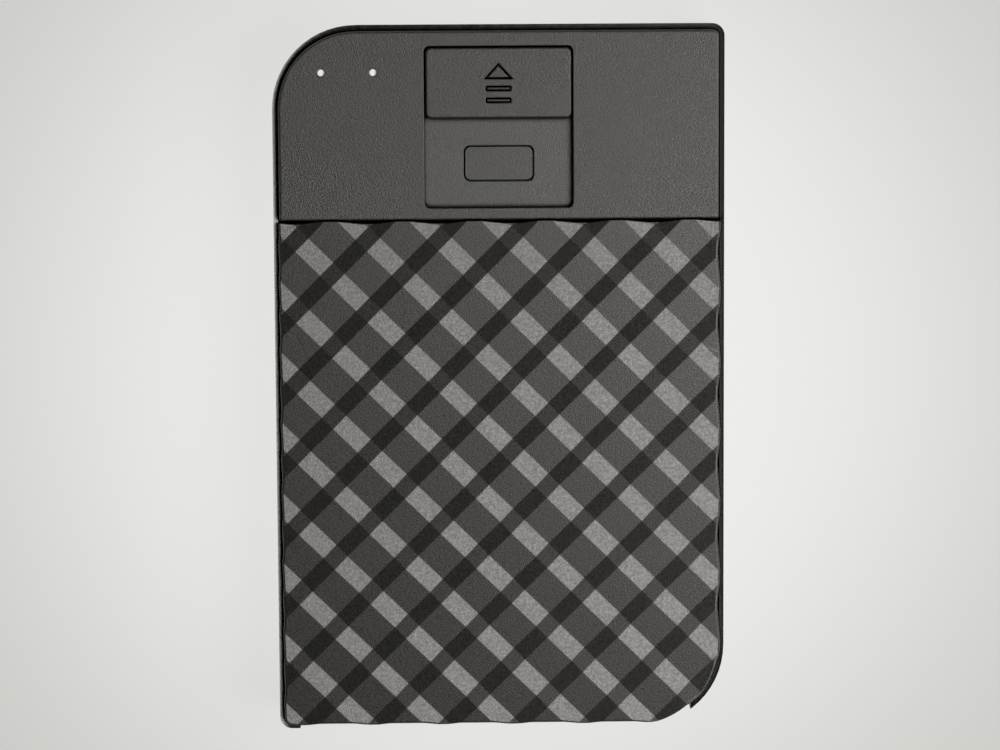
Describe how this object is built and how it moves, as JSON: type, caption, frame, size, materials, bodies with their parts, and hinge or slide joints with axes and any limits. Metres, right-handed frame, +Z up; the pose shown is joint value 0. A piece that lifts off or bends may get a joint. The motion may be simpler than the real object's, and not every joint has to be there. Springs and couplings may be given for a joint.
{
  "type": "external hard drive",
  "caption": "Pocket external hard drive: relief-patterned case with two large rounded corners, a sliding shutter over a fingerprint sensor, and a working disk drive inside.",
  "frame": {"origin": "centre of the case's footprint, on the plane that the rubber feet stand on", "axes": "+X across the case, +Y along it towards the port end, +Z up out of the patterned cover"},
  "size_m": [0.079, 0.1244, 0.019],
  "materials": {
    "tray_plastic": "fine grain, matte",
    "cover_plastic": "fine grain, satin",
    "panel_plastic": "fine grain, satin",
    "window_plastic": "smooth, satin",
    "sensor_glass": "smooth, semi-gloss",
    "soft_rubber": "matte",
    "foam": "open cell",
    "circuit_board": "solder mask",
    "chip_epoxy": "moulded epoxy",
    "connector_plastic": "moulded",
    "flex_film": "polyimide film",
    "light_guide": "clear moulding",
    "led_resin": "cast resin",
    "screw_steel": "plated",
    "port_steel": "drawn shell",
    "cast_alloy": "die cast",
    "lid_steel": "pressed sheet",
    "disk_mirror": "polished",
    "winding_copper": "enamelled wire",
    "magnet_plate": "nickel plated"
  },
  "bodies": {
    "case": {"base_tray": "tray_plastic", "pattern_cover": "cover_plastic", "control_panel": "panel_plastic", "sensor_plate": "window_plastic", "fingerprint_sensor": "sensor_glass", "sensor_board": "circuit_board", "sensor_board_screws": "screw_steel", "sensor_ribbon": "flex_film", "light_pipes": "light_guide", "status_leds": "led_resin", "rubber_feet": "soft_rubber", "case_screws": "screw_steel", "drive_bumpers": "soft_rubber", "foam_pad": "foam", "bridge_board": "circuit_board", "usb_shell": "port_steel", "usb_tongue": "chip_epoxy", "sata_socket": "chip_epoxy", "board_chips": "chip_epoxy", "board_screws": "screw_steel", "ribbon_connectors": "connector_plastic", "drive_base": "cast_alloy", "drive_lid": "lid_steel", "lid_screws": "screw_steel", "lid_gasket": "soft_rubber", "spindle_shaft": "screw_steel", "motor_stator": "winding_copper", "pivot_post": "screw_steel", "lower_yoke": "magnet_plate", "upper_yoke": "magnet_plate", "voice_coil_magnets": "magnet_plate", "load_ramp": "connector_plastic", "air_filter": "connector_plastic", "drive_board": "circuit_board", "drive_connector": "chip_epoxy", "drive_board_screws": "screw_steel", "drive_chips": "chip_epoxy"},
    "shutter": {"sensor_shutter": "panel_plastic"},
    "spindle": {"spindle_hub": "cast_alloy", "lower_platter": "disk_mirror", "platter_spacer": "cast_alloy", "upper_platter": "disk_mirror", "disk_clamp": "lid_steel", "clamp_screws": "screw_steel"},
    "actuator": {"actuator_arms": "cast_alloy", "voice_coil": "winding_copper", "head_gimbals": "screw_steel"}
  },
  "joints": [
    {"name": "shutter_slide", "type": "slide", "parent": "case", "child": "shutter", "axis": [0, -1, 0], "range_m": [0, 0.0154]},
    {"name": "spindle_spin", "type": "hinge", "parent": "case", "child": "spindle", "pos_m": [0, -0.02035, 0.009], "axis": [0, 0, 1], "continuous": true},
    {"name": "arm_swing", "type": "hinge", "parent": "case", "child": "actuator", "pos_m": [0.0155, 0.01865, 0.009], "axis": [0, 0, 1], "range_deg": [0, 33]}
  ]
}
